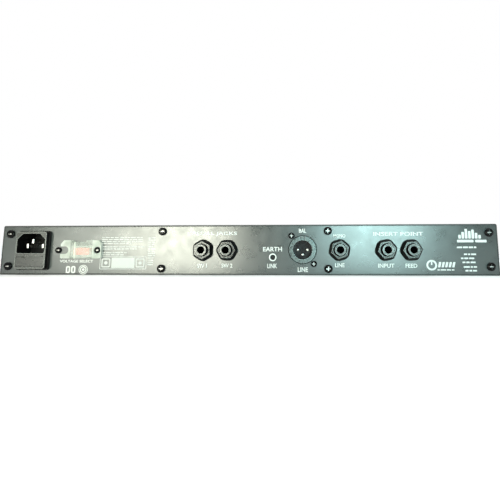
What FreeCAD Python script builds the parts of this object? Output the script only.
import FreeCAD, Part
import math
import os
import Sketcher

# A one-unit rack effects unit for an instrument: a folded steel case behind a
# 19 inch panel, with the mains inlet, jacks and output connector on its back.
#
# X runs along the panels, to the right as seen from the front, Y from the front
# to the back, and Z up. The origin is the middle of the four rack slots, on the
# back face of the front panel, where the panel's ears meet the rack's rails.

doc = FreeCAD.newDocument("RackEffectsUnit")
sheet = doc.addObject("Spreadsheet::Sheet", "Dims")

DIMS = {
    # Front panel: one unit of the 19 inch rack system
    "panel_width": 482.6,
    "panel_height": 43.66,
    "panel_thick": 3.0,
    "panel_corner": 1.0,
    "slot_span": 465.1,
    "slot_rise": 31.75,
    "slot_long": 10.3,
    "slot_radius": 3.4,
    # Case of folded sheet, and the plate that closes its back
    "case_width": 432.0,
    "case_height": 43.2,
    "case_depth": 213.0,
    "sheet_thick": 1.2,
    "bend_radius": 1.5,
    "seam_gap": 0.1,
    "weld_foot": 9.0,
    "rear_thick": 1.5,
    "flange_rise": 12.0,
    "tab_width": 12.0,
    "tab_reach": 11.0,
    "tab_corner": 1.5,
    # Screws: rear and case screws, then the small ones of the connectors
    "case_screw_head": 3.5,
    "case_screw_shank": 1.9,
    "case_screw_long": 7.0,
    "small_screw_head": 2.7,
    "small_screw_shank": 1.4,
    "small_screw_long": 7.0,
    "screw_clearance": 0.15,
    # Mains inlet with its fuse drawer
    "inlet_across": 186.0,
    "inlet_up": -0.5,
    "inlet_width": 27.2,
    "inlet_height": 32.4,
    "inlet_stand": 5.0,
    "inlet_deep": 28.0,
    "socket_width": 25.3,
    "socket_height": 17.3,
    "socket_depth": 17.0,
    "socket_chamfer": 5.0,
    "socket_rise": 6.0,
    "blade_gap": 14.0,
    "blade_thick": 2.0,
    "blade_tall": 4.0,
    "earth_rise": 4.0,
    "drawer_width": 25.0,
    "drawer_height": 8.7,
    "drawer_drop": 9.85,
    "drawer_front": 1.8,
    "drawer_long": 30.0,
    "blade_tail": 7.0,
    "fuse_radius": 2.6,
    "fuse_long": 20.0,
    # Voltage selector and its clear cover
    "selector_across": 141.5,
    "selector_up": -1.4,
    "slider_width": 14.6,
    "slider_height": 6.2,
    "slider_travel": 3.6,
    "cover_near": 123.5,
    "cover_far": 160.2,
    "cover_low": -7.6,
    "cover_high": 8.3,
    "cover_stand": 3.0,
    "cover_wall": 1.0,
    "cover_notch_near": 137.6,
    "cover_notch_far": 148.2,
    "cover_notch_deep": 1.5,
    "cover_rib_across": 147.2,
    "cover_rib_wide": 1.4,
    "cover_rib_proud": 0.5,
    "cover_screw_near": 127.2,
    "cover_screw_far": 163.6,
    "cover_screw_up": -0.4,
    # Quarter inch jacks
    "jack_up": -0.5,
    "jack_bore": 3.2,
    "bushing_radius": 4.6,
    "bushing_reach": 8.4,
    "jack_block_wide": 15.6,
    "jack_block_tall": 17.0,
    "jack_block_deep": 24.0,
    "nut_base_flats": 18.0,
    "nut_front_flats": 13.4,
    "nut_corner": 9.3,
    "nut_height": 4.7,
    "nut_dish": 5.6,
    "nut_dish_deep": 2.2,
    # Three pin output connector
    "xlr_across": -52.2,
    "xlr_shell": 12.2,
    "xlr_mouth": 8.25,
    "xlr_stand": 1.0,
    "xlr_depth": 14.5,
    "xlr_neck": 10.6,
    "xlr_long": 30.0,
    "xlr_flange_width": 26.0,
    "xlr_flange_height": 31.0,
    "xlr_flange_thick": 2.0,
    "xlr_key_width": 5.0,
    "xlr_key_deep": 3.0,
    "xlr_pin_circle": 4.15,
    "xlr_pin_radius": 1.2,
    "xlr_screw_span": 19.0,
    "xlr_screw_rise": 24.0,
    # Ground lift switch
    "lift_across": -26.5,
    "lift_up": -6.7,
    "lift_ring": 3.3,
    "lift_bore": 2.3,
    "lift_button": 2.0,
    "lift_shoulder": 3.0,
    # Front controls
    "knob_radius": 8.4,
    "knob_skirt": 10.0,
    "knob_front": 18.6,
    "knob_gap": 0.6,
    "shaft_radius": 3.0,
    "shaft_clearance": 0.05,
    "pot_side": 16.0,
    "pot_deep": 11.2,
    "pot_bushing": 3.5,
    "button_radius": 3.6,
    "button_stand": 5.0,
    "button_travel": 2.5,
    "led_radius": 1.5,
    "rocker_across": 196.0,
    "rocker_width": 10.0,
    "rocker_radius": 8.05,
    "rocker_clearance": 0.3,
    "rocker_pin": 1.2,
    "rocker_tilt": 9.0,
    # Boards and supply
    "board_thick": 1.6,
    "standoff_height": 5.0,
    "can_radius": 9.0,
    "can_height": 26.0,
    "core_width": 64.0,
    "core_depth": 54.0,
    "core_height": 32.0,
    "core_leg": 19.0,
    "core_window_width": 42.0,
    "core_window_depth": 10.0,
    "lead_radius": 1.1,
}
for row, (alias, number) in enumerate(DIMS.items(), start=1):
    sheet.set(f"A{row}", alias)
    sheet.set(f"B{row}", str(number))
    sheet.setAlias(f"B{row}", alias)
doc.recompute()


class Size:
    """A length or place, with the spreadsheet expression that it comes from."""

    def __init__(self, value, text):
        self.value = value
        self.text = text

    @property
    def bound(self):
        return "Dims." in self.text

    def __add__(self, other):
        other = as_size(other)
        return Size(self.value + other.value, f"({self.text} + {other.text})")

    def __sub__(self, other):
        other = as_size(other)
        return Size(self.value - other.value, f"({self.text} - {other.text})")

    def __mul__(self, other):
        other = as_size(other)
        return Size(self.value * other.value, f"({self.text} * {other.text})")

    def __truediv__(self, other):
        other = as_size(other)
        return Size(self.value / other.value, f"({self.text} / {other.text})")

    def __neg__(self):
        return self * -1

    def __radd__(self, other):
        return as_size(other) + self

    def __rsub__(self, other):
        return as_size(other) - self

    def __rmul__(self, other):
        return as_size(other) * self


def as_size(number):
    """A Size made from a plain number, or the Size itself."""
    if isinstance(number, Size):
        return number
    return Size(float(number), f"({float(number)!r})")


def dim(alias):
    """The driving dimension kept under this alias in the spreadsheet."""
    return Size(DIMS[alias], f"Dims.{alias}")


# Heights and depths that most pieces are placed by
FLOOR = -dim("panel_height") / 2
CEILING = FLOOR + dim("case_height")
MIDDLE = FLOOR + dim("case_height") / 2
REAR = dim("case_depth")
REAR_INSIDE = REAR - dim("rear_thick")
FRONT = -dim("panel_thick")
WALL_INSIDE = dim("sheet_thick")
TRAY_FLOOR = FLOOR + dim("sheet_thick")
INNER_HALF = dim("case_width") / 2 - dim("sheet_thick") - dim("seam_gap")

# What sits where along the panels: name of the control or connector, and X
KNOBS = {"gain": -142, "bass": -102, "mid": -66, "treble": -30, "comp": 18, "process": 72, "master": 140}
BUTTONS = {"pad": -168, "comp": 44, "process": 98}
LEDS = {"clip": -121, "comp": 44, "process": 98, "power": 174}
LED_UP = 12.0
REAR_JACKS = {
    "footswitch_jack_a": 34.2,
    "footswitch_jack_b": 13.1,
    "main_out_jack": -83.7,
    "return_jack": -122.9,
    "send_jack": -143.9,
}
NUT_TURNS = {
    "footswitch_jack_a": 90,
    "footswitch_jack_b": 0,
    "main_out_jack": 78,
    "return_jack": 10,
    "send_jack": 4,
}
INPUT_JACK_ACROSS = -192.0
SIDE_TABS = 208.7
INNER_TABS = (70.5, -74.0)
SIDE_TAB_RISE = 14.2
INNER_TAB_RISE = 16.1
FRONT_SCREWS = (208.0, 14.0)
SIDE_SCREWS = ((40.0, -15.5), (165.0, -15.5))

# The boards' edges, and where the capacitors and the transformer stand
CONTROL_BOARD = (-178, 160, 16)
MAIN_BOARD = (-196, 108, 30, 182)
CANS_ACROSS = 88
CANS_ALONG = (60, 84, 108)
TRANSFORMER = (156.0, 100.0)

nodes = {}


def keep(name, piece):
    """Name a finished piece as a node of the assembly."""
    piece.Label = name
    nodes[name] = piece
    return piece


def bind(piece, path, size):
    """Give a property its size, tied to the spreadsheet when it comes from there."""
    size = as_size(size)
    if size.bound:
        piece.setExpression(path, size.text)
    else:
        setattr(piece, path, size.value)


def place(piece, at=(0, 0, 0), axis=(0, 0, 1), degrees=0):
    """Put a piece at a point, turned about an axis through it."""
    at = [as_size(value) for value in at]
    turn = FreeCAD.Rotation(FreeCAD.Vector(*axis), degrees)
    piece.Placement = FreeCAD.Placement(FreeCAD.Vector(*[value.value for value in at]), turn)
    for letter, value in zip("xyz", at):
        if value.bound:
            piece.setExpression(f"Placement.Base.{letter}", value.text)
    return piece


def box(name, low, high):
    """A block between its lowest and highest corners."""
    piece = doc.addObject("Part::Box", name)
    for side, start, end in zip(("Length", "Width", "Height"), low, high):
        bind(piece, side, as_size(end) - start)
    return place(piece, low)


def block(name, middle, width, height, start, end):
    """A block seen from the back as width by height about (x, z), from one depth to another."""
    across, up = middle
    low = (across - as_size(width) / 2, start, up - as_size(height) / 2)
    high = (across + as_size(width) / 2, end, up + as_size(height) / 2)
    return box(name, low, high)


def rod(name, middle, radius, start, end):
    """A cylinder along Y about (x, z)."""
    piece = doc.addObject("Part::Cylinder", name)
    bind(piece, "Radius", radius)
    bind(piece, "Height", as_size(end) - start)
    return place(piece, (middle[0], start, middle[1]), (1, 0, 0), -90)


def cross_rod(name, centre, radius, length):
    """A cylinder along X, centred on a point."""
    piece = doc.addObject("Part::Cylinder", name)
    bind(piece, "Radius", radius)
    bind(piece, "Height", length)
    x, y, z = centre
    return place(piece, (x - as_size(length) / 2, y, z), (0, 1, 0), 90)


def fuse(name, *pieces):
    joined = doc.addObject("Part::MultiFuse", name)
    joined.Shapes = list(pieces)
    return joined


def cut(name, base, *tools):
    """The base with every tool taken out of it."""
    result = doc.addObject("Part::Cut", name)
    result.Base = base
    result.Tool = tools[0] if len(tools) == 1 else fuse(f"{name}_tools", *tools)
    return result


def group(name, pieces):
    """Separate solids that share one node."""
    result = doc.addObject("Part::Compound", name)
    result.Links = list(pieces)
    return result


def copies(name, piece, places):
    """One or more copies of a piece, each at (point, axis, degrees)."""
    links = []
    for number, (at, axis, degrees) in enumerate(places):
        link = doc.addObject("App::Link", f"{name}_{number}")
        link.LinkedObject = piece
        links.append(place(link, at, axis, degrees))
    return group(name, links)


def facing_back(across, up, depth=REAR):
    """The place of a copy whose +Y still points to the back."""
    return ((across, depth, up), (0, 0, 1), 0)


def facing_front(across, up, depth=FRONT):
    """The place of a copy turned round so that its +Y points to the front."""
    return ((across, depth, up), (0, 0, 1), 180)


class Drawing:
    """A sketch on one of its own body's origin planes, with every point measured from the origin."""

    NORMALS = {"XY_Plane": 1, "XZ_Plane": -1, "YZ_Plane": 1}

    def __init__(self, body, name, plane, level=0):
        support = [part for part in body.Origin.OriginFeatures if part.Role == plane][0]
        offset = as_size(level) * self.NORMALS[plane]
        self.sketch = body.newObject("Sketcher::SketchObject", name)
        self.sketch.AttachmentSupport = [(support, "")]
        self.sketch.MapMode = "FlatFace"
        self.sketch.AttachmentOffset = FreeCAD.Placement(
            FreeCAD.Vector(0, 0, offset.value), FreeCAD.Rotation()
        )
        if offset.bound:
            self.sketch.setExpression("AttachmentOffset.Base.z", offset.text)
        self.curves = []
        self.rules = []
        self.expressions = []

    def measure(self, kind, *target, size):
        size = as_size(size)
        if size.bound:
            self.expressions.append((len(self.rules), size.text))
        self.rules.append(Sketcher.Constraint(kind, *target, size.value))

    def pin(self, curve, vertex, point):
        self.measure("DistanceX", -1, 1, curve, vertex, size=point[0])
        self.measure("DistanceY", -1, 1, curve, vertex, size=point[1])

    def join(self, curve, vertex, other, other_vertex):
        self.rules.append(Sketcher.Constraint("Coincident", curve, vertex, other, other_vertex))

    def circle(self, centre, radius):
        spot = FreeCAD.Vector(as_size(centre[0]).value, as_size(centre[1]).value, 0)
        self.curves.append(Part.Circle(spot, FreeCAD.Vector(0, 0, 1), as_size(radius).value))
        self.pin(len(self.curves) - 1, 3, centre)
        self.measure("Radius", len(self.curves) - 1, size=radius)

    def arc(self, centre, radius, start, end):
        """An anticlockwise arc between two angles; returns its number."""
        circle = Part.Circle(FreeCAD.Vector(*centre, 0), FreeCAD.Vector(0, 0, 1), radius)
        self.curves.append(Part.ArcOfCircle(circle, start, end))
        return len(self.curves) - 1

    def line(self, start, end):
        vectors = [FreeCAD.Vector(point[0].value, point[1].value, 0) for point in (start, end)]
        self.curves.append(Part.LineSegment(*vectors))
        return len(self.curves) - 1

    def outline(self, corners):
        """A closed outline through (across, up) or (across, up, radius) corners."""
        corners = [[as_size(value) for value in corner] for corner in corners]
        entries = []
        exits = []
        arcs = []
        for number, corner in enumerate(corners):
            before = corners[number - 1]
            after = corners[(number + 1) % len(corners)]
            if len(corner) == 2:
                entries.append(corner)
                exits.append(corner)
                arcs.append(None)
                continue
            inward = unit(corner, before)
            outward = unit(corner, after)
            half = math.acos(inward[0] * outward[0] + inward[1] * outward[1]) / 2
            run = corner[2] / math.tan(half)
            entries.append([corner[0] + run * inward[0], corner[1] + run * inward[1]])
            exits.append([corner[0] + run * outward[0], corner[1] + run * outward[1]])
            reach = corner[2].value / math.sin(half) / math.hypot(
                inward[0] + outward[0], inward[1] + outward[1]
            )
            centre = [corner[axis].value + (inward[axis] + outward[axis]) * reach for axis in (0, 1)]
            left_turn = inward[0] * outward[1] - inward[1] * outward[0] < 0
            arcs.append((centre, corner[2], left_turn))
        lines = []
        for number in range(len(corners)):
            start = exits[number]
            end = entries[(number + 1) % len(corners)]
            curve = self.line(start, end)
            lines.append(curve)
            self.pin(curve, 1, start)
            if arcs[(number + 1) % len(corners)]:
                self.pin(curve, 2, end)
        for number, arc in enumerate(arcs):
            arriving = lines[number - 1]
            leaving = lines[number]
            if arc is None:
                self.join(arriving, 2, leaving, 1)
                continue
            centre, radius, left_turn = arc
            ends = [entries[number], exits[number]]
            angles = [math.atan2(end[1].value - centre[1], end[0].value - centre[0]) for end in ends]
            if not left_turn:
                angles.reverse()
            if angles[1] < angles[0]:
                angles[1] += 2 * math.pi
            curve = self.arc(centre, radius.value, *angles)
            self.join(arriving, 2, curve, 1 if left_turn else 2)
            self.join(curve, 2 if left_turn else 1, leaving, 1)
            self.measure("Radius", curve, size=radius)

    def rectangle(self, middle, width, height, radius=None):
        """A rectangle about its middle, with rounded corners where a radius is given."""
        half_width = as_size(width) / 2
        half_height = as_size(height) / 2
        corners = []
        for across, up in ((-1, -1), (1, -1), (1, 1), (-1, 1)):
            corners.append((middle[0] + half_width * across, middle[1] + half_height * up))
        if radius is not None:
            corners = [(*corner, radius) for corner in corners]
        self.outline(corners)

    def slot(self, middle, length, radius):
        """A level slot with round ends."""
        middle = [as_size(value) for value in middle]
        reach = as_size(length) / 2 - radius
        ends = [(middle[0] - reach, middle[1]), (middle[0] + reach, middle[1])]
        lower = self.line((ends[0][0], middle[1] - radius), (ends[1][0], middle[1] - radius))
        upper = self.line((ends[1][0], middle[1] + radius), (ends[0][0], middle[1] + radius))
        right = self.arc([value.value for value in ends[1]], radius.value, -math.pi / 2, math.pi / 2)
        left = self.arc([value.value for value in ends[0]], radius.value, math.pi / 2, 3 * math.pi / 2)
        self.pin(lower, 1, (ends[0][0], middle[1] - radius))
        self.pin(lower, 2, (ends[1][0], middle[1] - radius))
        self.pin(upper, 1, (ends[1][0], middle[1] + radius))
        self.pin(upper, 2, (ends[0][0], middle[1] + radius))
        for first, second in ((lower, right), (right, upper), (upper, left), (left, lower)):
            self.join(first, 2, second, 1)
        self.measure("DistanceX", -1, 1, right, 3, size=ends[1][0])
        self.measure("DistanceX", -1, 1, left, 3, size=ends[0][0])

    def finish(self):
        self.sketch.addGeometry(self.curves, False)
        self.sketch.addConstraint(self.rules)
        for number, text in self.expressions:
            self.sketch.setExpression(f"Constraints[{number}]", text)
        return self.sketch


def unit(start, end):
    """The direction from one corner to another."""
    run = (end[0].value - start[0].value, end[1].value - start[1].value)
    length = math.hypot(*run)
    return (run[0] / length, run[1] / length)


def new_body(name):
    return doc.addObject("PartDesign::Body", name)


def extrude(body, kind, drawing, length, backwards):
    """Pad or pocket a sketch on the XZ plane, towards +Y when backwards."""
    feature = body.newObject(f"PartDesign::{kind}", f"{drawing.sketch.Name}_{kind.lower()}")
    feature.Profile = drawing.finish()
    bind(feature, "Length", length)
    feature.Reversed = backwards if kind == "Pad" else not backwards
    return feature


def pad(body, drawing, length, backwards=False):
    return extrude(body, "Pad", drawing, length, backwards)


def pocket(body, drawing, length, backwards=False):
    """Cut a pocket and make sure that it took something away."""
    doc.recompute()
    before = body.Shape.Volume
    feature = extrude(body, "Pocket", drawing, length, backwards)
    doc.recompute()
    if body.Shape.Volume >= before:
        raise ValueError(f"{feature.Name} cuts nothing")
    return feature


def turned(name, profile):
    """A body turned about its own Y axis from (radius, y) corners."""
    body = new_body(name)
    drawing = Drawing(body, f"{name}_profile", "XY_Plane")
    drawing.outline(profile)
    feature = body.newObject("PartDesign::Revolution", f"{name}_turn")
    feature.Profile = drawing.finish()
    feature.ReferenceAxis = (drawing.sketch, ["V_Axis"])
    feature.Angle = 360
    return body


def regular(sides, across_flats):
    """Corners of a regular outline about the origin, first corner on the across axis."""
    corner = across_flats / (2 * math.cos(math.pi / sides))
    angles = [2 * math.pi * number / sides for number in range(sides)]
    return [(corner * math.cos(angle), corner * math.sin(angle)) for angle in angles]


def screw(name, head, shank, length):
    """A pan head screw along -Y with its head on +Y and a cross recess."""
    rise = head * 0.66
    profile = [
        (0, -length),
        (shank * 0.7, -length),
        (shank, -length + shank * 0.5),
        (shank, 0),
        (head, 0),
        (head, rise * 0.55),
        (head * 0.62, rise),
        (0, rise),
    ]
    body = turned(name, profile)
    arm = head * 0.56
    half = head * 0.13
    corners = []
    for quarter in range(4):
        turn = quarter * math.pi / 2
        for across, up in ((arm, -half), (arm, half), (half, half)):
            corners.append((
                across * math.cos(turn) - up * math.sin(turn),
                across * math.sin(turn) + up * math.cos(turn),
            ))
    recess = Drawing(body, f"{name}_recess", "XZ_Plane", rise + 0.1)
    recess.outline(corners)
    pocket(body, recess, rise * 0.6 + 0.1)
    return body


def rear_screw_spots():
    """(across, up) of the eight screws that hold the rear plate."""
    spots = [(side * SIDE_TABS, level * SIDE_TAB_RISE) for side in (1, -1) for level in (1, -1)]
    spots += [(across, level * INNER_TAB_RISE) for across in INNER_TABS for level in (1, -1)]
    return [(across, MIDDLE + up) for across, up in spots]


def front_screw_spots():
    across, up = FRONT_SCREWS
    return [(side * across, level * up) for side in (1, -1) for level in (1, -1)]


def xlr_screw_spots():
    """The two screws on one diagonal of the output connector's flange."""
    half_span = dim("xlr_screw_span") / 2
    half_rise = dim("xlr_screw_rise") / 2
    across = dim("xlr_across")
    return [(across + half_span, MIDDLE + half_rise), (across - half_span, MIDDLE - half_rise)]


def control_holes(drawing):
    """The holes that the front panel and the case's front wall share."""
    for across in KNOBS.values():
        drawing.circle((across, 0), dim("pot_bushing") + 0.1)
    for across in BUTTONS.values():
        drawing.circle((across, 0), dim("button_radius") + 0.3)
    for across in LEDS.values():
        drawing.circle((across, LED_UP), dim("led_radius") + 0.1)
    for across, up in front_screw_spots():
        drawing.circle((across, up), dim("case_screw_shank") + dim("screw_clearance"))
    drawing.circle((INPUT_JACK_ACROSS, 0), dim("bushing_radius") + 0.2)
    drawing.rectangle((dim("rocker_across"), 0), 13.0, 19.2)


def make_front_panel():
    body = new_body("front_panel")
    plate = Drawing(body, "front_plate", "XZ_Plane")
    plate.rectangle((0, 0), dim("panel_width"), dim("panel_height"), dim("panel_corner"))
    for side in (-1, 1):
        for level in (-1, 1):
            middle = (dim("slot_span") / 2 * side, dim("slot_rise") / 2 * level)
            plate.slot(middle, dim("slot_long"), dim("slot_radius"))
    control_holes(plate)
    pad(body, plate, dim("panel_thick"))
    keep("front_panel", body)


def make_rear_panel():
    body = new_body("rear_panel")
    plate = Drawing(body, "rear_plate", "XZ_Plane", REAR)
    height = dim("case_height") - (dim("sheet_thick") + dim("seam_gap")) * 2
    plate.rectangle((0, MIDDLE), INNER_HALF * 2, height, 0.4)
    for across, up in rear_screw_spots():
        plate.circle((across, up), dim("case_screw_shank") + dim("screw_clearance"))
    for across in REAR_JACKS.values():
        plate.circle((across, dim("jack_up")), dim("bushing_radius") + 0.2)
    plate.circle((dim("xlr_across"), MIDDLE), dim("xlr_shell") + 0.3)
    for across, up in xlr_screw_spots():
        plate.circle((across, up), dim("small_screw_shank") + dim("screw_clearance"))
    plate.circle((dim("lift_across"), dim("lift_up")), dim("lift_ring") + 0.05)
    inlet = (dim("inlet_across"), dim("inlet_up"))
    plate.rectangle(inlet, dim("inlet_width") - 0.4, dim("inlet_height") - 1.0, 2.0)
    plate.rectangle(
        (dim("selector_across"), dim("selector_up")),
        dim("slider_width") + dim("slider_travel") + 0.8,
        dim("slider_height") + 0.8,
        0.5,
    )
    for across in (dim("cover_screw_near"), dim("cover_screw_far")):
        plate.circle((across, dim("cover_screw_up")), dim("small_screw_shank") + dim("screw_clearance"))
    pad(body, plate, dim("rear_thick"))
    keep("rear_panel", body)


def make_top_cover():
    """A folded channel: the top and both sides, with four tabs turned down at the back."""
    body = new_body("top_cover")
    half = dim("case_width") / 2
    inner = half - dim("sheet_thick")
    inner_bend = dim("bend_radius") - dim("sheet_thick")
    low = FLOOR + dim("seam_gap")
    channel = Drawing(body, "cover_channel", "XZ_Plane")
    channel.outline([
        (-half, low),
        (-inner, low),
        (-inner, CEILING - dim("sheet_thick"), inner_bend),
        (inner, CEILING - dim("sheet_thick"), inner_bend),
        (inner, low),
        (half, low),
        (half, CEILING, dim("bend_radius")),
        (-half, CEILING, dim("bend_radius")),
    ])
    pad(body, channel, REAR, backwards=True)
    tabs = Drawing(body, "cover_tabs", "XZ_Plane", REAR_INSIDE)
    for across in (SIDE_TABS, -SIDE_TABS, *INNER_TABS):
        low_tab = CEILING - dim("sheet_thick") - dim("tab_reach")
        high_tab = CEILING - dim("sheet_thick") / 2
        edges = [across - dim("tab_width") / 2, across + dim("tab_width") / 2]
        tabs.outline([
            (edges[0], low_tab, dim("tab_corner")),
            (edges[1], low_tab, dim("tab_corner")),
            (edges[1], high_tab),
            (edges[0], high_tab),
        ])
    pad(body, tabs, dim("sheet_thick"))
    holes = Drawing(body, "cover_tab_holes", "XZ_Plane", REAR_INSIDE + 1)
    for across, up in rear_screw_spots():
        if up.value > MIDDLE.value:
            holes.circle((across, up), dim("case_screw_shank") + dim("screw_clearance"))
    pocket(body, holes, dim("sheet_thick") + 2)
    side_holes(body, "top_cover")


def side_holes(body, name):
    """Drill a folded part for the screws in the case's two sides."""
    tools = []
    for number, (along, up) in enumerate(SIDE_SCREWS):
        radius = dim("case_screw_shank") + dim("screw_clearance")
        length = dim("case_width") + 10
        tools.append(cross_rod(f"{name}_side_drill_{number}", (0, along, up), radius, length))
    keep(name, cut(f"{name}_drilled", body, *tools))


def make_chassis_tray():
    """The bottom, two low side flanges, and four tabs turned up at the back."""
    body = new_body("chassis_tray")
    width = INNER_HALF * 2
    thick = dim("sheet_thick")
    bottom = Drawing(body, "tray_bottom", "XZ_Plane")
    bottom.rectangle((0, FLOOR + thick / 2), width, thick)
    pad(body, bottom, REAR, backwards=True)
    flange_start = thick + dim("seam_gap")
    flanges = Drawing(body, "tray_flanges", "XZ_Plane", flange_start)
    for side in (-1, 1):
        across = (INNER_HALF - thick / 2) * side
        flanges.rectangle((across, FLOOR + dim("flange_rise") / 2), thick, dim("flange_rise"))
    pad(body, flanges, REAR_INSIDE - dim("seam_gap") - flange_start, backwards=True)
    tabs = Drawing(body, "tray_tabs", "XZ_Plane", REAR_INSIDE)
    for across in (SIDE_TABS, -SIDE_TABS, *INNER_TABS):
        edges = [across - dim("tab_width") / 2, across + dim("tab_width") / 2]
        tabs.outline([
            (edges[0], FLOOR + thick / 2),
            (edges[1], FLOOR + thick / 2),
            (edges[1], TRAY_FLOOR + dim("tab_reach"), dim("tab_corner")),
            (edges[0], TRAY_FLOOR + dim("tab_reach"), dim("tab_corner")),
        ])
    pad(body, tabs, thick)
    holes = Drawing(body, "tray_tab_holes", "XZ_Plane", REAR_INSIDE + 1)
    for across, up in rear_screw_spots():
        if up.value < MIDDLE.value:
            holes.circle((across, up), dim("case_screw_shank") + dim("screw_clearance"))
    pocket(body, holes, thick + 2)
    side_holes(body, "chassis_tray")


def make_front_wall():
    """The case's front wall, its foot folded back and welded to the tray's floor."""
    body = new_body("front_wall")
    thick = dim("sheet_thick")
    high = CEILING - thick - dim("seam_gap")
    wall = Drawing(body, "wall_face", "XZ_Plane")
    middle = (0, (TRAY_FLOOR + high) / 2)
    wall.rectangle(middle, INNER_HALF * 2, high - TRAY_FLOOR)
    control_holes(wall)
    pad(body, wall, thick, backwards=True)
    foot = Drawing(body, "wall_foot", "XZ_Plane")
    foot_width = (INNER_HALF - thick - dim("seam_gap")) * 2
    foot.rectangle((0, TRAY_FLOOR + thick / 2), foot_width, thick)
    pad(body, foot, dim("weld_foot"), backwards=True)
    keep("front_wall", body)


def make_case_screws():
    head = dim("case_screw_head")
    screw_body = screw("case_screw", head, dim("case_screw_shank"), dim("case_screw_long"))
    rear = [facing_back(across, up) for across, up in rear_screw_spots()]
    keep("rear_panel_screws", copies("rear_screws", screw_body, rear))
    front = [facing_front(across, up) for across, up in front_screw_spots()]
    keep("front_panel_screws", copies("front_screws", screw_body, front))
    sides = []
    for side in (-1, 1):
        for along, up in SIDE_SCREWS:
            sides.append(((dim("case_width") / 2 * side, along, up), (0, 0, 1), -90 * side))
    keep("cover_screws", copies("side_screws", screw_body, sides))


def make_small_screws():
    """Two screws hold the output connector, and two the voltage selector with its cover."""
    body = screw("small_screw", dim("small_screw_head"), dim("small_screw_shank"), dim("small_screw_long"))
    spots = [facing_back(across, up) for across, up in xlr_screw_spots()]
    spots.append(facing_back(dim("cover_screw_far"), dim("cover_screw_up")))
    seat = REAR + dim("cover_wall") * 1.6
    spots.append(facing_back(dim("cover_screw_near"), dim("cover_screw_up"), seat))
    keep("connector_screws", copies("connector_screw_set", body, spots))


def socket_outline(drawing, shrink=0):
    """The mains socket's outline, its two upper corners cut off."""
    across = dim("inlet_across")
    up = dim("inlet_up") + dim("socket_rise")
    half_width = dim("socket_width") / 2 - shrink
    half_height = dim("socket_height") / 2 - shrink
    chamfer = dim("socket_chamfer")
    drawing.outline([
        (across - half_width, up - half_height, 1.5),
        (across + half_width, up - half_height, 1.5),
        (across + half_width, up + half_height - chamfer),
        (across + half_width - chamfer, up + half_height),
        (across - half_width + chamfer, up + half_height),
        (across - half_width, up + half_height - chamfer),
    ])


def blade_spots():
    """(across, up) of the inlet's three blades: two live ones and the earth above."""
    across = dim("inlet_across")
    up = dim("inlet_up") + dim("socket_rise") - 2.0
    half = dim("blade_gap") / 2
    return [(across - half, up), (across + half, up), (across, up + dim("earth_rise"))]


def make_inlet():
    middle = (dim("inlet_across"), dim("inlet_up"))
    face = REAR + dim("inlet_stand")
    flange = 2.0
    body = new_body("inlet_body")
    levels = [
        ("inlet_bezel", 0, 0, 2.2, face, dim("inlet_stand") - flange),
        ("inlet_flange", 2.4, 1.8, 2.6, REAR + flange, flange),
        ("inlet_box", -0.8, -1.4, 1.8, REAR, dim("inlet_deep")),
    ]
    for name, wider, taller, radius, level, deep in levels:
        drawing = Drawing(body, name, "XZ_Plane", level)
        drawing.rectangle(middle, dim("inlet_width") + wider, dim("inlet_height") + taller, radius)
        pad(body, drawing, deep)
    socket = Drawing(body, "inlet_socket", "XZ_Plane", face)
    socket_outline(socket)
    pocket(body, socket, dim("socket_depth"))
    drawer = (dim("inlet_across"), dim("inlet_up") - dim("drawer_drop"))
    mouth = Drawing(body, "drawer_mouth", "XZ_Plane", face)
    mouth.rectangle(drawer, dim("drawer_width") + 0.6, dim("drawer_height") + 0.5, 0.6)
    pocket(body, mouth, dim("drawer_front") + 0.4)
    chamber = Drawing(body, "drawer_chamber", "XZ_Plane", face)
    chamber.rectangle(drawer, dim("drawer_width") - 2.0, dim("drawer_height") - 1.0)
    pocket(body, chamber, dim("drawer_long") + 0.6)
    slits = Drawing(body, "blade_slits", "XZ_Plane", face)
    for spot in blade_spots():
        slits.rectangle(spot, dim("blade_thick"), dim("blade_tall"))
    pocket(body, slits, dim("inlet_deep") + 10)
    keep("inlet_housing", body)
    blades = []
    for number, spot in enumerate(blade_spots()):
        earth = number == 2
        tip = face - (2.0 if earth else 5.0)
        back = REAR - dim("inlet_deep") - dim("blade_tail")
        blade = block(f"inlet_blade_{number}", spot, dim("blade_thick"), dim("blade_tall"), back, tip)
        blades.append(blade)
    keep("inlet_pins", group("blades", blades))


def make_fuse_drawer():
    across = dim("inlet_across")
    up = dim("inlet_up") - dim("drawer_drop")
    face = REAR + dim("inlet_stand")
    back = face - dim("drawer_front")
    front = block("drawer_front", (across, up), dim("drawer_width"), dim("drawer_height"), back, face)
    width = dim("drawer_width") - 2.6
    height = dim("drawer_height") - 1.6
    shelf = block("drawer_shelf", (across, up), width, height, face - dim("drawer_long"), back)
    trough_middle = (across, up + height / 2)
    trough_width = dim("fuse_radius") * 2 + 0.4
    fuse_end = face - 5.0
    fuse_start = fuse_end - dim("fuse_long")
    bed = block("drawer_bed", trough_middle, trough_width, height, fuse_start - 0.3, fuse_end + 0.3)
    round_bed = rod(
        "drawer_round_bed", (across, up), dim("fuse_radius") + 0.2, fuse_start - 0.3, fuse_end + 0.3
    )
    grip = (across + 6.5, up + dim("drawer_height") / 2)
    notch = block("drawer_notch", grip, 4.0, 1.6, face - 0.9, face + 1)
    keep("fuse_drawer", cut("drawer", fuse("drawer_solid", front, shelf), bed, round_bed, notch))
    radius = dim("fuse_radius")
    glass = radius - 0.25
    cap = 5.0
    body = turned("mains_fuse", [
        (0, 0), (radius, 0), (radius, cap), (glass, cap),
        (glass, dim("fuse_long") - cap), (radius, dim("fuse_long") - cap),
        (radius, dim("fuse_long")), (0, dim("fuse_long")),
    ])
    keep("mains_fuse", place(body, (across, fuse_start, up)))


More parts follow.
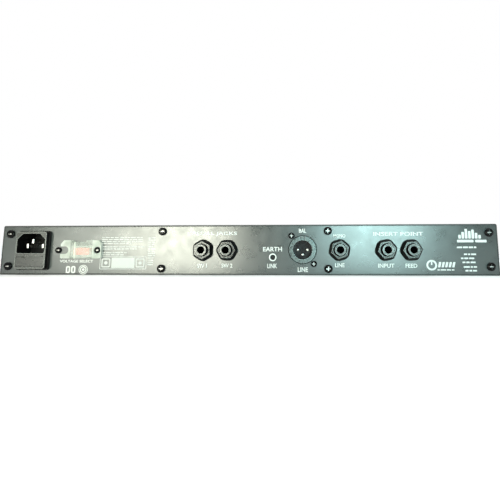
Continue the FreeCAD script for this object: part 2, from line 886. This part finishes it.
def make_selector():
    middle = (dim("selector_across"), dim("selector_up"))
    room_width = dim("slider_width") + dim("slider_travel") + 0.6
    room_height = dim("slider_height") + 0.6
    shell = block("switch_shell", middle, room_width + 4, room_height + 4, REAR_INSIDE - 10, REAR_INSIDE)
    room = block("switch_room", middle, room_width, room_height, REAR_INSIDE - 7.5, REAR_INSIDE + 1)
    keep("selector_switch_body", cut("selector_switch", shell, room))
    resting = (dim("selector_across") + dim("slider_travel") / 2, dim("selector_up"))
    face = REAR - 0.2
    bar = block("slider_bar", resting, dim("slider_width"), dim("slider_height"), REAR_INSIDE - 7.2, face)
    groove = block("slider_groove", resting, 1.2, dim("slider_height") - 2.4, face - 1.2, face + 1)
    keep("selector_slider", cut("selector_slide", bar, groove))


def make_selector_cover():
    """A clear moulded cover: a screw hole at one end, an open slot at the other and a rib between."""
    body = new_body("selector_cover")
    near = dim("cover_near")
    far = dim("cover_far")
    low = dim("cover_low")
    high = dim("cover_high")
    slot_up = dim("cover_screw_up")
    slot_half = 3.3
    slot_end = far - 7.2
    notch_low = high - dim("cover_notch_deep")
    top = REAR + dim("cover_stand")
    outline = Drawing(body, "cover_outline", "XZ_Plane", top)
    outline.outline([
        (near, low, 2.0),
        (far, low, 1.5),
        (far, slot_up - slot_half, 0.5),
        (slot_end, slot_up - slot_half, slot_half - 0.1),
        (slot_end, slot_up + slot_half, slot_half - 0.1),
        (far, slot_up + slot_half, 0.5),
        (far, high - 3.3),
        (far - 2.8, high),
        (dim("cover_notch_far"), high),
        (dim("cover_notch_far"), notch_low),
        (dim("cover_notch_near"), notch_low),
        (dim("cover_notch_near"), high),
        (near + 2.7, high),
        (near, high - 3.1),
    ])
    pad(body, outline, dim("cover_stand"))
    rib_top = top + dim("cover_rib_proud")
    rib = Drawing(body, "cover_rib", "XZ_Plane", rib_top)
    rib_middle = (dim("cover_rib_across"), (low + notch_low) / 2)
    rib.rectangle(rib_middle, dim("cover_rib_wide"), notch_low - low - 1.6, 0.3)
    pad(body, rib, dim("cover_rib_proud"))
    window = Drawing(body, "cover_window", "XZ_Plane", REAR)
    window_width = dim("slider_width") + dim("slider_travel") + 1.6
    window.rectangle((dim("selector_across"), dim("selector_up")), window_width, 10.0, 0.6)
    pocket(body, window, dim("cover_stand") - dim("cover_wall"), backwards=True)
    bore = Drawing(body, "cover_bore", "XZ_Plane", top)
    near_screw = (dim("cover_screw_near"), dim("cover_screw_up"))
    bore.circle(near_screw, dim("small_screw_head") + 0.4)
    pocket(body, bore, dim("cover_stand") - dim("cover_wall") * 1.6)
    through = Drawing(body, "cover_through", "XZ_Plane", top)
    through.circle(near_screw, dim("small_screw_shank") + 0.3)
    pocket(body, through, dim("cover_stand") + 1)
    keep("selector_cover", body)


def make_jack(name, spot, wall):
    """A moulded jack socket behind a panel of this thickness, its threaded bushing through it."""
    reach = dim("bushing_reach")
    back = -wall - dim("jack_block_deep")
    shell = block(
        f"{name}_block", (0, 0), dim("jack_block_wide"), dim("jack_block_tall"), back, -wall
    )
    bushing = rod(f"{name}_bushing", (0, 0), dim("bushing_radius"), -wall - 1, reach)
    bore = rod(f"{name}_bore", (0, 0), dim("jack_bore"), back + 1.5, reach + 1)
    spring_room = block(f"{name}_spring_room", (0, 5.0), 2.6, 3.8, back - 1, back + 20)
    jack = cut(f"{name}_socket", fuse(f"{name}_solid", shell, bushing), bore, spring_room)
    keep(name, place(jack, *spot))


def make_jacks():
    rear_wall = dim("rear_thick")
    front_wall = dim("panel_thick") + dim("sheet_thick")
    spots = {name: facing_back(across, dim("jack_up")) for name, across in REAR_JACKS.items()}
    for name, spot in spots.items():
        make_jack(name, spot, rear_wall)
    input_spot = facing_front(INPUT_JACK_ACROSS, 0)
    make_jack("input_jack", input_spot, front_wall)
    nut = make_jack_nut()
    nut_places = [(spots[name][0], (0, 1, 0), turn) for name, turn in NUT_TURNS.items()]
    keep("jack_nuts", copies("jack_nut_set", nut, [*nut_places, input_spot]))
    spring = make_jack_spring()
    depth = dim("jack_block_deep")
    spring_places = []
    for across in REAR_JACKS.values():
        spring_places.append(facing_back(across, dim("jack_up"), REAR_INSIDE - depth))
    spring_places.append(facing_front(INPUT_JACK_ACROSS, 0, FRONT + front_wall + depth))
    keep("jack_contacts", copies("jack_springs", spring, spring_places))


def make_jack_nut():
    """A six sided nut that narrows to its front, with a round dish about the bushing."""
    body = new_body("jack_nut_body")
    sections = []
    for name, flats, level in (
        ("nut_base", dim("nut_base_flats"), 0),
        ("nut_front", dim("nut_front_flats"), dim("nut_height")),
    ):
        drawing = Drawing(body, name, "XZ_Plane", level)
        drawing.outline(regular(6, flats))
        sections.append(drawing.finish())
    loft = body.newObject("PartDesign::AdditiveLoft", "nut_loft")
    loft.Profile = sections[0]
    loft.Sections = sections[1:]
    loft.Ruled = True
    dish = Drawing(body, "nut_dish", "XZ_Plane", dim("nut_height"))
    dish.circle((0, 0), dim("nut_dish"))
    pocket(body, dish, dim("nut_dish_deep"))
    bore = Drawing(body, "nut_bore", "XZ_Plane", dim("nut_height"))
    bore.circle((0, 0), dim("bushing_radius") + 0.02)
    pocket(body, bore, dim("nut_height") + 1)
    round_stock = rod("nut_stock", (0, 0), dim("nut_corner"), 0, dim("nut_height"))
    nut = doc.addObject("Part::Common", "jack_nut")
    nut.Base = body
    nut.Tool = round_stock
    return nut


def make_jack_spring():
    """The bent tip contact beside a jack's bore, with its tag out of the back."""
    body = new_body("jack_spring")
    drawing = Drawing(body, "spring_profile", "YZ_Plane", -0.8)
    thick = 0.5
    bends = [(-5, 5.4), (4, 5.4), (12, 3.5), (17, 5.0)]
    upper = [(along, up + thick) for along, up in reversed(bends)]
    drawing.outline(bends + upper)
    strip = body.newObject("PartDesign::Pad", "spring_strip")
    strip.Profile = drawing.finish()
    strip.Length = 1.6
    return body


def make_xlr():
    """The output connector: a metal shell with a flange behind the plate, an insert and three pins."""
    across = dim("xlr_across")
    body = new_body("xlr_body")
    flange = Drawing(body, "xlr_flange", "XZ_Plane", REAR_INSIDE)
    flange.rectangle((0, 0), dim("xlr_flange_width"), dim("xlr_flange_height"), 3.0)
    pad(body, flange, dim("xlr_flange_thick"))
    outer = dim("xlr_shell")
    front = REAR + dim("xlr_stand")
    barrel = Drawing(body, "xlr_barrel", "XY_Plane")
    barrel.outline([
        (0, REAR - dim("xlr_long")),
        (dim("xlr_neck"), REAR - dim("xlr_long")),
        (dim("xlr_neck"), REAR_INSIDE - 1),
        (outer, REAR_INSIDE - 1),
        (outer, front - 0.6),
        (outer - 0.6, front),
        (0, front),
    ])
    turn = body.newObject("PartDesign::Revolution", "xlr_barrel_turn")
    turn.Profile = barrel.finish()
    turn.ReferenceAxis = (barrel.sketch, ["V_Axis"])
    turn.Angle = 360
    mouth = Drawing(body, "xlr_mouth", "XZ_Plane", front)
    mouth.circle((0, 0), dim("xlr_mouth"))
    pocket(body, mouth, dim("xlr_long") + dim("xlr_stand") + 1)
    key = Drawing(body, "xlr_key", "XZ_Plane", front)
    key.rectangle((0, dim("xlr_mouth") + 1.0), dim("xlr_key_width"), 3.4)
    pocket(body, key, dim("xlr_key_deep"))
    holes = Drawing(body, "xlr_flange_holes", "XZ_Plane", REAR_INSIDE + 1)
    half_span = dim("xlr_screw_span") / 2
    half_rise = dim("xlr_screw_rise") / 2
    radius = dim("small_screw_shank") + dim("screw_clearance")
    for side in (1, -1):
        holes.circle((half_span * side, half_rise * side), radius)
    pocket(body, holes, dim("xlr_flange_thick") + 2)
    keep("xlr_shell", place(body, (across, 0, MIDDLE)))
    insert_face = REAR - dim("xlr_depth")
    disc = rod("xlr_disc", (across, MIDDLE), dim("xlr_mouth"), REAR - dim("xlr_long") - 2, insert_face)
    pins = []
    drills = []
    circle = dim("xlr_pin_circle")
    radius = dim("xlr_pin_radius")
    tail = REAR - dim("xlr_long") - 8
    for number, degrees in enumerate((0, 180, 270)):
        angle = math.radians(degrees)
        spot = (across + circle * math.cos(angle), MIDDLE + circle * math.sin(angle))
        pins.append(rod(f"xlr_pin_{number}", spot, radius, tail, REAR - 4.6))
        drills.append(rod(f"xlr_pin_drill_{number}", spot, radius, tail - 2, REAR))
    keep("xlr_insert", cut("xlr_plug", disc, *drills))
    keep("xlr_pins", group("xlr_pin_set", pins))


def make_ground_lift():
    ring = dim("lift_ring")
    bore = dim("lift_bore")
    shoulder = dim("lift_shoulder")
    spot = (dim("lift_across"), 0, dim("lift_up"))
    bush = turned("ground_lift_bush", [
        (bore, REAR - 5),
        (ring + 1.1, REAR - 5),
        (ring + 1.1, REAR_INSIDE),
        (ring, REAR_INSIDE),
        (ring, REAR + 0.3),
        (ring - 0.3, REAR + 0.6),
        (bore + 0.3, REAR + 0.6),
        (bore, REAR + 0.3),
    ])
    keep("ground_lift_bush", place(bush, spot))
    button = dim("lift_button")
    plunger = turned("ground_lift_button", [
        (0, REAR - 16),
        (1.5, REAR - 16),
        (1.5, REAR - 7),
        (shoulder, REAR - 7),
        (shoulder, REAR - 5.5),
        (button, REAR - 5.5),
        (button, REAR - 1.1),
        (button - 0.3, REAR - 0.8),
        (0, REAR - 0.8),
    ])
    keep("ground_lift_button", place(plunger, spot))
    middle = (dim("lift_across"), dim("lift_up"))
    shell = block("lift_shell", middle, 10, 10, REAR - 24, REAR - 10)
    hole = rod("lift_hole", middle, 1.9, REAR - 19.2, REAR - 9)
    keep("ground_lift_switch", cut("lift_switch", shell, hole))


def make_knobs():
    """Seven knobs on seven potentiometer shafts, and the potentiometers behind the panel."""
    back = FRONT - dim("knob_gap")
    face = -dim("knob_front")
    radius = dim("knob_radius")
    skirt = dim("knob_skirt")
    shaft = dim("shaft_radius")
    body = turned("knob_body", [
        (7.4, back),
        (skirt, back),
        (skirt, back - 1.6),
        (radius, back - 3.2),
        (radius - 0.7, face + 1.2),
        (radius - 1.8, face),
        (0, face),
        (0, -16.2),
        (shaft, -16.2),
        (shaft, back - 3.6),
        (7.4, back - 3.6),
    ])
    flute = Drawing(body, "knob_flute", "XZ_Plane", face - 1)
    flute.circle((radius + 0.1, 0), 1.0)
    groove = pocket(body, flute, dim("knob_front") + back - 3.4 + 1, backwards=True)
    pattern = body.newObject("PartDesign::PolarPattern", "knob_flutes")
    pattern.Originals = [groove]
    pattern.Axis = (flute.sketch, ["N_Axis"])
    pattern.Angle = 360
    pattern.Occurrences = 20
    body.Tip = pattern
    pointer = Drawing(body, "knob_pointer", "XZ_Plane", face - 1)
    pointer.rectangle((0, 4.4), 1.2, 5.2)
    pocket(body, pointer, 1.4, backwards=True)
    axle = turned("shaft_body", [
        (0, -16),
        (shaft - 0.4, -16),
        (shaft, -15.6),
        (shaft, 4.2),
        (6.2, 4.2),
        (6.2, 6.2),
        (0, 6.2),
    ])
    for name, across in KNOBS.items():
        spot = ((across, 0, 0), (0, 0, 1), 0)
        keep(f"{name}_knob", copies(f"{name}_knob_copy", body, [spot]))
        keep(f"{name}_shaft", copies(f"{name}_shaft_copy", axle, [spot]))


def make_potentiometers():
    side = dim("pot_side")
    end = WALL_INSIDE + dim("pot_deep")
    bushing = dim("pot_bushing")
    shell = block("pot_shell", (0, 0), side, side, WALL_INSIDE, end)
    neck = rod("pot_neck", (0, 0), bushing, -6.2, WALL_INSIDE + 1)
    bore = rod("pot_bore", (0, 0), dim("shaft_radius") + dim("shaft_clearance"), -7, 5)
    room = rod("pot_room", (0, 0), 6.6, 3.6, 7.4)
    pot = cut("pot_body", fuse("pot_solid", shell, neck), bore, room)
    spots = [((across, 0, 0), (0, 0, 1), 0) for across in KNOBS.values()]
    keep("potentiometer_bodies", copies("pots", pot, spots))
    nut = new_body("pot_nut")
    ring = Drawing(nut, "pot_nut_outline", "XZ_Plane", FRONT)
    ring.outline(regular(6, as_size(10.0)))
    ring.circle((0, 0), bushing + 0.02)
    pad(nut, ring, 2.2)
    keep("pot_nuts", copies("pot_nut_set", nut, spots))


def make_buttons():
    radius = dim("button_radius")
    face = FRONT - dim("button_stand")
    body = turned("button_body", [
        (0, face),
        (radius - 0.5, face),
        (radius, face + 0.5),
        (radius, 1.5),
        (4.6, 1.5),
        (4.6, 2.7),
        (1.5, 2.7),
        (1.5, 7.5),
        (0, 7.5),
    ])
    shell = block("button_switch_shell", (0, 0), 10, 10, 5.6, 12.4)
    hole = rod("button_switch_hole", (0, 0), 1.9, 5, 11)
    switch = cut("button_switch", shell, hole)
    for name, across in BUTTONS.items():
        keep(f"{name}_button", copies(f"{name}_button_copy", body, [((across, 0, 0), (0, 0, 1), 0)]))
    spots = [((across, 0, 0), (0, 0, 1), 0) for across in BUTTONS.values()]
    keep("button_switch_bodies", copies("button_switches", switch, spots))


def make_power_switch():
    """A rocker that swings on a cross pin in its snap-in frame."""
    across = dim("rocker_across")
    pivot = (0, 0, 0)
    radius = dim("rocker_radius")
    width = dim("rocker_width")
    drum = cross_rod("rocker_drum", pivot, radius, width)
    axle = cross_rod("rocker_axle", pivot, dim("rocker_pin"), width + 2.4)
    tools = []
    valley = -2.2
    slope = 11.0
    for side in (1, -1):
        wedge = doc.addObject("Part::Box", f"rocker_wedge_{'upper' if side > 0 else 'lower'}")
        wedge.Length = 14
        wedge.Width = 10
        wedge.Height = 12
        lean = FreeCAD.Rotation(FreeCAD.Vector(1, 0, 0), side * slope)
        corner = FreeCAD.Vector(-7, -10, 0 if side > 0 else -12)
        wedge.Placement = FreeCAD.Placement(FreeCAD.Vector(0, valley, 0) + lean.multVec(corner), lean)
        tools.append(wedge)
    rocker = cut("rocker", fuse("rocker_solid", drum, axle), *tools)
    seat = (across, -1.4, 0)
    keep("power_rocker", place(rocker, seat, (1, 0, 0), DIMS["rocker_tilt"]))
    bezel = block("rocker_bezel", (across, 0), 15.0, 21.0, FRONT - 2.0, FRONT)
    shell = block("rocker_shell", (across, 0), 12.7, 18.9, FRONT, 14.0)
    gap = dim("rocker_clearance")
    room = cross_rod("rocker_room", seat, radius + gap, width + gap * 2)
    hole = cross_rod("rocker_pin_hole", seat, dim("rocker_pin") + 0.05, width + 2.6)
    keep("power_switch_frame", cut("rocker_frame", fuse("rocker_frame_solid", bezel, shell), room, hole))


def make_leds():
    radius = dim("led_radius")
    lamp = turned("led_body", [
        (0, FRONT - 1.6),
        (radius * 0.6, FRONT - 1.35),
        (radius * 0.92, FRONT - 0.7),
        (radius, FRONT),
        (radius, WALL_INSIDE),
        (radius + 0.4, WALL_INSIDE),
        (radius + 0.4, WALL_INSIDE + 1.0),
        (0, WALL_INSIDE + 1.0),
    ])
    spots = [((across, 0, LED_UP), (0, 0, 1), 0) for across in LEDS.values()]
    keep("indicator_leds", copies("leds", lamp, spots))


def make_boards():
    """The control board behind the front wall and the main board on its standoffs."""
    board = dim("board_thick")
    start = WALL_INSIDE + dim("pot_deep")
    left, right, half_height = CONTROL_BOARD
    control = box("control_pcb", (left, start, -half_height), (right, start + board, half_height))
    keep("control_board", control)
    low = TRAY_FLOOR + dim("standoff_height")
    left, right, near, far = MAIN_BOARD
    keep("main_board", box("main_pcb", (left, near, low), (right, far, low + board)))
    post = new_body("standoff")
    hexagon = Drawing(post, "standoff_outline", "XY_Plane")
    hexagon.outline(regular(6, as_size(5.5)))
    raised = post.newObject("PartDesign::Pad", "standoff_pad")
    raised.Profile = hexagon.finish()
    bind(raised, "Length", dim("standoff_height"))
    inset = 8
    spots = [
        ((across, along, TRAY_FLOOR), (0, 0, 1), 0)
        for across in (left + inset, (left + right) / 2, right - inset)
        for along in (near + inset, far - inset)
    ]
    keep("board_standoffs", copies("standoffs", post, spots))
    can = doc.addObject("Part::Cylinder", "capacitor")
    bind(can, "Radius", dim("can_radius"))
    bind(can, "Height", dim("can_height"))
    cans = [((CANS_ACROSS, along, low + board), (0, 0, 1), 0) for along in CANS_ALONG]
    keep("filter_capacitors", copies("capacitors", can, cans))


def make_transformer():
    """A laminated core on the tray's floor, with its winding round the middle leg."""
    across, along = TRANSFORMER
    low = TRAY_FLOOR
    high = low + dim("core_height")
    half_width = dim("core_width") / 2
    half_depth = dim("core_depth") / 2
    stack = box(
        "core_stack",
        (across - half_width, along - half_depth, low),
        (across + half_width, along + half_depth, high),
    )
    window_half = dim("core_window_width") / 2
    leg_half = dim("core_leg") / 2
    reach = leg_half + dim("core_window_depth")
    windows = []
    for name, start, end in (("near", -reach, -leg_half), ("far", leg_half, reach)):
        windows.append(box(
            f"core_window_{name}",
            (across - window_half, along + start, low - 1),
            (across + window_half, along + end, high + 1),
        ))
    keep("transformer_core", cut("core", stack, *windows))
    slack = 0.3
    coil_half = reach - slack
    coil = box(
        "coil_outside",
        (across - window_half + slack, along - coil_half, low + slack),
        (across + window_half - slack, along + coil_half, high + 4),
    )
    leg = box(
        "coil_inside",
        (across - window_half - 1, along - leg_half, low - 1),
        (across + window_half + 1, along + leg_half, high),
    )
    keep("transformer_winding", cut("coil", coil, leg))


def make_mains_leads():
    """Three insulated leads from the inlet's blades to the transformer, as runs joined by arcs."""
    radius = dim("lead_radius").value
    start = (REAR - dim("inlet_deep") - dim("blade_tail")).value
    end = TRANSFORMER[1] + dim("core_depth").value / 2 + 1
    leads = []
    for number, (across, up) in enumerate(blade_spots()):
        level = up.value
        target = TRANSFORMER[0] - 6.0 + number * 8.0
        corners = [
            FreeCAD.Vector(across.value, start, level),
            FreeCAD.Vector(across.value, start - 14, level),
            FreeCAD.Vector(target, end + 16, level),
            FreeCAD.Vector(target, end, level),
        ]
        path = rounded_path(corners, 9.0)
        ring = Part.Wire([Part.Circle(corners[0], FreeCAD.Vector(0, -1, 0), radius).toShape()])
        lead = doc.addObject("Part::Feature", f"mains_lead_{number}")
        lead.Shape = path.makePipeShell([ring], True, False)
        leads.append(lead)
    keep("mains_leads", group("leads", leads))


def rounded_path(corners, radius):
    """Straight runs through the corners, joined by tangent arcs."""
    edges = []
    start = corners[0]
    for before, corner, after in zip(corners, corners[1:], corners[2:]):
        arriving = (before - corner).normalize()
        leaving = (after - corner).normalize()
        half = arriving.getAngle(leaving) / 2
        run = radius / math.tan(half)
        bisector = (arriving + leaving).normalize()
        enter = corner + arriving * run
        leave = corner + leaving * run
        centre = corner + bisector * (radius / math.sin(half))
        edges.append(Part.LineSegment(start, enter).toShape())
        edges.append(Part.Arc(enter, centre - bisector * radius, leave).toShape())
        start = leave
    edges.append(Part.LineSegment(start, corners[-1]).toShape())
    return Part.Wire(edges)


make_front_panel()
make_rear_panel()
make_top_cover()
make_chassis_tray()
make_front_wall()
make_case_screws()
make_small_screws()
make_inlet()
make_fuse_drawer()
make_selector()
make_selector_cover()
make_jacks()
make_xlr()
make_ground_lift()
make_knobs()
make_potentiometers()
make_buttons()
make_power_switch()
make_leds()
make_boards()
make_transformer()
make_mains_leads()
doc.recompute()

for item in doc.Objects:
    if "Invalid" in item.State or "Error" in item.State:
        raise ValueError(f"{item.Name} failed: {item.State}")
for name, piece in nodes.items():
    if piece.Shape.isNull() or not piece.Shape.isValid() or not piece.Shape.Solids:
        raise ValueError(f"{name} has no valid shape")

os.makedirs("parts", exist_ok=True)
for name, piece in nodes.items():
    piece.Shape.exportStep(os.path.join("parts", f"{name}.step"))
print(f"{len(nodes)} nodes written")
